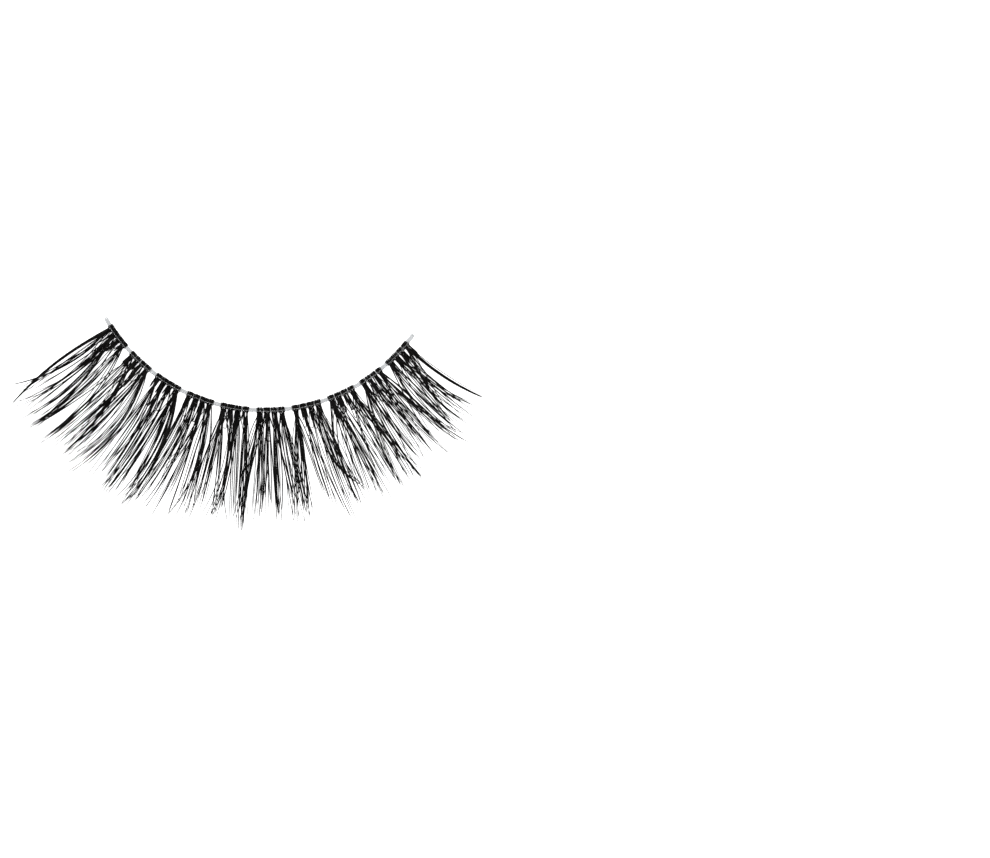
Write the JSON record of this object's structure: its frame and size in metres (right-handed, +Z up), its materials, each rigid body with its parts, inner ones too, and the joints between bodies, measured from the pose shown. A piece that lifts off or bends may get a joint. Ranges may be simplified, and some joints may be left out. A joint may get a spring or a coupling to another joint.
{
  "type": "false eyelash strip",
  "caption": "Thin clear band bent to an arc, with groups of black lashes knotted round it that fan out and curl upwards, glued along an eyelid to lengthen its lashes.",
  "frame": {"origin": "bottom centre of the strip's box, on the surface that it lies on", "axes": "+X along the strip, from the end with the longer lashes to the other; +Y from the lashes' tips towards the eyelid; +Z up, the way the lashes curl"},
  "size_m": [0.0434, 0.0194, 0.0047],
  "materials": {
    "band_clear": "clear flexible film",
    "thread_clear": "clear fine thread",
    "lash_black": "satin black synthetic hair"
  },
  "bodies": {
    "root": {"band": "band_clear", "binding_thread": "thread_clear", "lash_cluster_01": "lash_black", "lash_cluster_02": "lash_black", "lash_cluster_03": "lash_black", "lash_cluster_04": "lash_black", "lash_cluster_05": "lash_black", "lash_cluster_06": "lash_black", "lash_cluster_07": "lash_black", "lash_cluster_08": "lash_black", "lash_cluster_09": "lash_black", "lash_cluster_10": "lash_black"}
  },
  "joints": []
}
